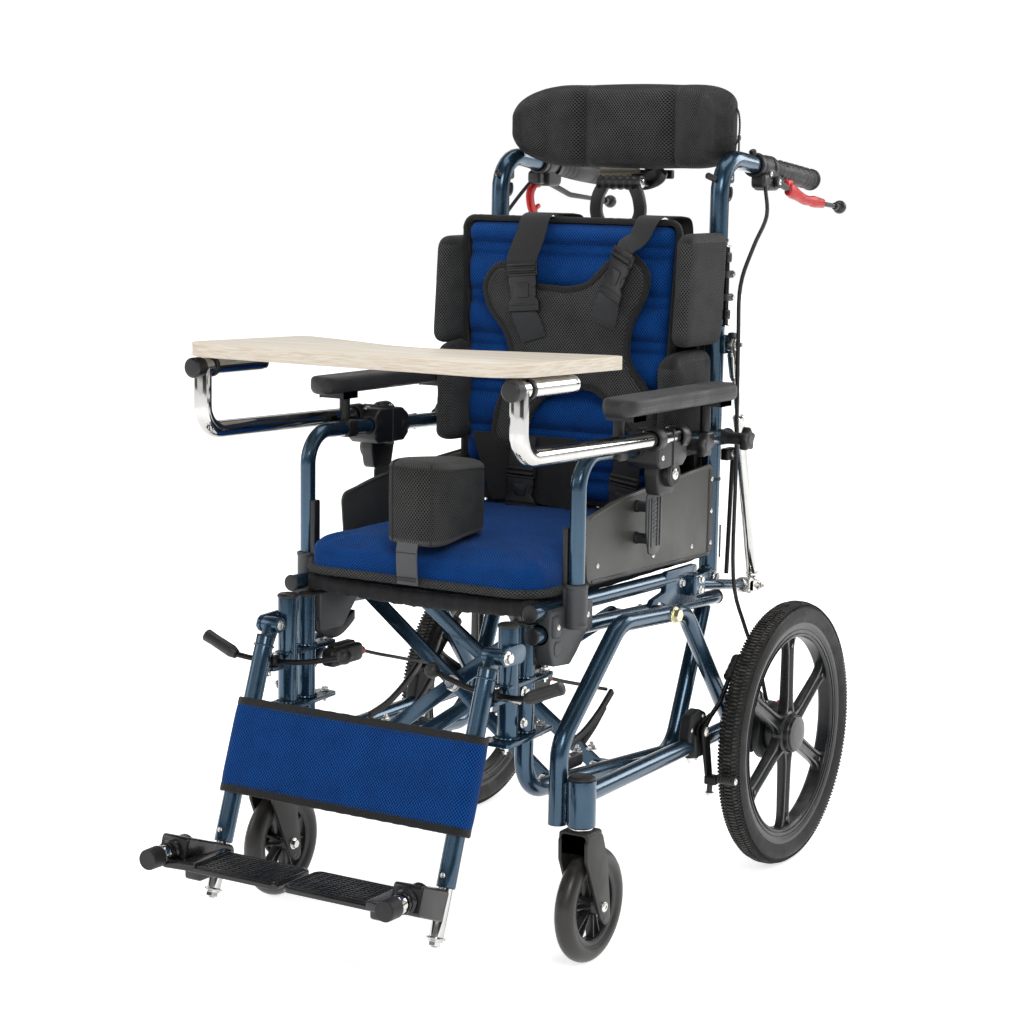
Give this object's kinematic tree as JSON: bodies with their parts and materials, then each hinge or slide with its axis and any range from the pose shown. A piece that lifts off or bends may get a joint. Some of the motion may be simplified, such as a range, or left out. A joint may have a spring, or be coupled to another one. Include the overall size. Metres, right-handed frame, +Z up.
{
  "type": "positioning wheelchair",
  "caption": "Positioning wheelchair with tilting seat, reclining padded back, headrest, harness, wooden tray, rising leg rests, casters and braked transit wheels.",
  "frame": {"origin": "on the floor, midway between the rear wheels and straight under their axle", "axes": "+X to the sitter's left, -Y forward, +Z up"},
  "size_m": [0.6066, 1.258, 1.184],
  "materials": {
    "frame_paint": "steel blue metallic paint, satin",
    "dark_steel": "dark, satin",
    "polished_tube": "polished",
    "bright_steel": "polished",
    "black_plastic": "matte",
    "grey_panel": "satin",
    "arm_foam": "moulded foam skin, matte",
    "caster_rubber": "matte",
    "tyre_rubber": "matte",
    "blue_mesh": "spacer mesh, matte",
    "black_mesh": "spacer mesh, matte",
    "birch": "clear lacquer, satin"
  },
  "bodies": {
    "base": {"side_frame_left": "frame_paint", "side_frame_right": "frame_paint"},
    "seat": {"x_brace_front": "frame_paint", "x_brace_rear": "frame_paint", "seat_sling": "black_mesh", "seat_cushion": "blue_mesh", "pommel": "black_mesh", "inner_frame_left": "frame_paint", "inner_frame_right": "frame_paint", "side_panel_left": "grey_panel", "side_panel_right": "grey_panel", "arm_tube_left": "frame_paint", "arm_tube_right": "frame_paint", "arm_pad_left": "arm_foam", "arm_pad_right": "arm_foam", "arm_clamp_left": "black_plastic", "arm_clamp_right": "black_plastic"},
    "back": {"back_board": "black_plastic", "back_cushion": "blue_mesh", "harness": "black_mesh", "back_post_left": "frame_paint", "back_post_right": "frame_paint", "brake_cable_left": "black_plastic", "brake_cable_right": "black_plastic"},
    "tray": {"tray_top": "birch", "tray_arm_left": "polished_tube", "tray_arm_right": "polished_tube"},
    "headrest": {"headrest_bracket": "dark_steel"},
    "pillow": {"headrest_pillow": "black_mesh"},
    "wheel_lock_left": {"wheel_lock_lever_left": "dark_steel"},
    "lock_shoe_left": {"wheel_lock_shoe_left": "dark_steel"},
    "caster_left": {"caster_fork_left": "dark_steel"},
    "caster_roller_left": {"caster_wheel_left": "caster_rubber"},
    "wheel_left": {"rear_wheel_left": "black_plastic", "rear_tyre_left": "tyre_rubber"},
    "knob_left": {"arm_knob_left": "black_plastic"},
    "leg_rest_left": {"hanger_left": "frame_paint", "calf_strap": "blue_mesh"},
    "foot_rest_left": {"foot_tube_left": "black_plastic"},
    "plate_left": {"footplate_left": "black_plastic"},
    "release_left": {"leg_lever_left": "black_plastic"},
    "strut_left": {"recline_cylinder_left": "black_plastic"},
    "strut_rod_left": {"recline_rod_left": "bright_steel"},
    "lateral_left": {"lateral_pad_left": "black_mesh"},
    "brake_left": {"brake_lever_left": "black_plastic"},
    "wheel_lock_right": {"wheel_lock_lever_right": "dark_steel"},
    "lock_shoe_right": {"wheel_lock_shoe_right": "dark_steel"},
    "caster_right": {"caster_fork_right": "dark_steel"},
    "caster_roller_right": {"caster_wheel_right": "caster_rubber"},
    "wheel_right": {"rear_wheel_right": "black_plastic", "rear_tyre_right": "tyre_rubber"},
    "knob_right": {"arm_knob_right": "black_plastic"},
    "leg_rest_right": {"hanger_right": "frame_paint"},
    "foot_rest_right": {"foot_tube_right": "black_plastic"},
    "plate_right": {"footplate_right": "black_plastic"},
    "release_right": {"leg_lever_right": "black_plastic"},
    "strut_right": {"recline_cylinder_right": "black_plastic"},
    "strut_rod_right": {"recline_rod_right": "bright_steel"},
    "lateral_right": {"lateral_pad_right": "black_mesh"},
    "brake_right": {"brake_lever_right": "black_plastic"}
  },
  "joints": [
    {"name": "seat_tilt", "type": "hinge", "parent": "base", "child": "seat", "pos_m": [0, -0.296, 0.429], "axis": [-1, 0, 0], "range_deg": [0, 20], "deforming": ["brake_cable_left", "brake_cable_right"]},
    {"name": "back_recline", "type": "hinge", "parent": "seat", "child": "back", "pos_m": [0, -0.115, 0.455], "axis": [-1, 0, 0], "range_deg": [0, 30], "deforming": ["brake_cable_left", "brake_cable_right"]},
    {"name": "tray_slide", "type": "slide", "parent": "seat", "child": "tray", "axis": [0, -0.9997, 0.0253], "range_m": [0, 0.06]},
    {"name": "headrest_height", "type": "slide", "parent": "back", "child": "headrest", "axis": [0, 0, 1], "range_m": [0, 0.06]},
    {"name": "headrest_tilt", "type": "hinge", "parent": "headrest", "child": "pillow", "pos_m": [0, 0.052, 1.1], "axis": [-1, 0, 0], "range_deg": [0, 20]},
    {"name": "legrest_left", "type": "hinge", "parent": "seat", "child": "leg_rest_left", "pos_m": [0.18, -0.69, 0.431], "axis": [-1, 0, 0], "range_deg": [0, 60]},
    {"name": "foot_slide_left", "type": "slide", "parent": "leg_rest_left", "child": "foot_rest_left", "axis": [0, -0.3351, -0.9422], "range_m": [0, 0.06]},
    {"name": "footplate_flip_left", "type": "hinge", "parent": "foot_rest_left", "child": "plate_left", "pos_m": [0.187, -0.915, 0.16], "axis": [0, 1, 0], "range_deg": [0, 90]},
    {"name": "leg_lever_turn_left", "type": "hinge", "parent": "seat", "child": "release_left", "pos_m": [0.18, -0.687, 0.38], "axis": [0, 0, 1], "range_deg": [0, 15], "stiffness_Nm_per_rad": 0.5},
    {"name": "arm_knob_turn_left", "type": "hinge", "parent": "seat", "child": "knob_left", "pos_m": [0.262, -0.278, 0.67313], "axis": [1, 0, 0], "range_deg": [0, 720]},
    {"name": "wheel_lock_turn_left", "type": "hinge", "parent": "base", "child": "wheel_lock_left", "pos_m": [0.2485, -0.232, 0.248], "axis": [1, 0, 0], "range_deg": [0, 60]},
    {"name": "lock_shoe_turn_left", "type": "hinge", "parent": "base", "child": "lock_shoe_left", "pos_m": [0.2566, -0.232, 0.248], "axis": [1, 0, 0], "range_deg": [0, 6.1]},
    {"name": "caster_swivel_left", "type": "hinge", "parent": "base", "child": "caster_left", "pos_m": [0.259, -0.593, 0.2], "axis": [0, 0, 1], "continuous": true},
    {"name": "caster_spin_left", "type": "hinge", "parent": "caster_left", "child": "caster_roller_left", "pos_m": [0.259, -0.567, 0.079], "axis": [1, 0, 0], "continuous": true},
    {"name": "rear_wheel_spin_left", "type": "hinge", "parent": "base", "child": "wheel_left", "pos_m": [0.281, 0, 0.203], "axis": [1, 0, 0], "continuous": true},
    {"name": "strut_swing_left", "type": "hinge", "parent": "seat", "child": "strut_left", "pos_m": [0.217, 0.003, 0.426], "axis": [-1, 0, 0], "range_deg": [0, 27.2]},
    {"name": "strut_slide_left", "type": "slide", "parent": "strut_left", "child": "strut_rod_left", "axis": [0, 0.2474, -0.9689], "range_m": [0, 0.061]},
    {"name": "lateral_swing_left", "type": "hinge", "parent": "back", "child": "lateral_left", "pos_m": [0.2125, -0.108, 0.88], "axis": [0, 0, 1], "range_deg": [0, 60]},
    {"name": "brake_squeeze_left", "type": "hinge", "parent": "back", "child": "brake_left", "pos_m": [0.2116, 0.062, 1.04], "axis": [1, 0, 0], "range_deg": [0, 12], "stiffness_Nm_per_rad": 0.5},
    {"name": "legrest_right", "type": "hinge", "parent": "seat", "child": "leg_rest_right", "pos_m": [-0.18, -0.69, 0.431], "axis": [-1, 0, 0], "range_deg": [0, 60]},
    {"name": "foot_slide_right", "type": "slide", "parent": "leg_rest_right", "child": "foot_rest_right", "axis": [0, -0.3351, -0.9422], "range_m": [0, 0.06]},
    {"name": "footplate_flip_right", "type": "hinge", "parent": "foot_rest_right", "child": "plate_right", "pos_m": [-0.187, -0.915, 0.16], "axis": [0, -1, 0], "range_deg": [0, 90]},
    {"name": "leg_lever_turn_right", "type": "hinge", "parent": "seat", "child": "release_right", "pos_m": [-0.18, -0.687, 0.38], "axis": [0, 0, -1], "range_deg": [0, 15], "stiffness_Nm_per_rad": 0.5},
    {"name": "arm_knob_turn_right", "type": "hinge", "parent": "seat", "child": "knob_right", "pos_m": [-0.262, -0.278, 0.67313], "axis": [1, 0, 0], "range_deg": [0, 720]},
    {"name": "wheel_lock_turn_right", "type": "hinge", "parent": "base", "child": "wheel_lock_right", "pos_m": [-0.2485, -0.232, 0.248], "axis": [1, 0, 0], "range_deg": [0, 60]},
    {"name": "lock_shoe_turn_right", "type": "hinge", "parent": "base", "child": "lock_shoe_right", "pos_m": [-0.2566, -0.232, 0.248], "axis": [1, 0, 0], "range_deg": [0, 6.1]},
    {"name": "caster_swivel_right", "type": "hinge", "parent": "base", "child": "caster_right", "pos_m": [-0.259, -0.593, 0.2], "axis": [0, 0, 1], "continuous": true},
    {"name": "caster_spin_right", "type": "hinge", "parent": "caster_right", "child": "caster_roller_right", "pos_m": [-0.259, -0.567, 0.079], "axis": [1, 0, 0], "continuous": true},
    {"name": "rear_wheel_spin_right", "type": "hinge", "parent": "base", "child": "wheel_right", "pos_m": [-0.281, 0, 0.203], "axis": [1, 0, 0], "continuous": true},
    {"name": "strut_swing_right", "type": "hinge", "parent": "seat", "child": "strut_right", "pos_m": [-0.217, 0.003, 0.426], "axis": [-1, 0, 0], "range_deg": [0, 27.2]},
    {"name": "strut_slide_right", "type": "slide", "parent": "strut_right", "child": "strut_rod_right", "axis": [0, 0.2474, -0.9689], "range_m": [0, 0.061]},
    {"name": "lateral_swing_right", "type": "hinge", "parent": "back", "child": "lateral_right", "pos_m": [-0.2125, -0.108, 0.88], "axis": [0, 0, -1], "range_deg": [0, 60]},
    {"name": "brake_squeeze_right", "type": "hinge", "parent": "back", "child": "brake_right", "pos_m": [-0.2116, 0.062, 1.04], "axis": [1, 0, 0], "range_deg": [0, 12], "stiffness_Nm_per_rad": 0.5}
  ],
  "couplings": [
    {"joint": "legrest_right", "follows": "legrest_left", "ratio": 1},
    {"joint": "strut_swing_left", "follows": "back_recline", "ratio": 0.9033},
    {"joint": "strut_slide_left", "follows": "back_recline", "m_per_rad": 0.11555},
    {"joint": "lock_shoe_turn_left", "follows": "wheel_lock_turn_left", "ratio": 0.1},
    {"joint": "strut_swing_right", "follows": "back_recline", "ratio": 0.9033},
    {"joint": "strut_slide_right", "follows": "back_recline", "m_per_rad": 0.11555},
    {"joint": "lock_shoe_turn_right", "follows": "wheel_lock_turn_right", "ratio": 0.1}
  ]
}
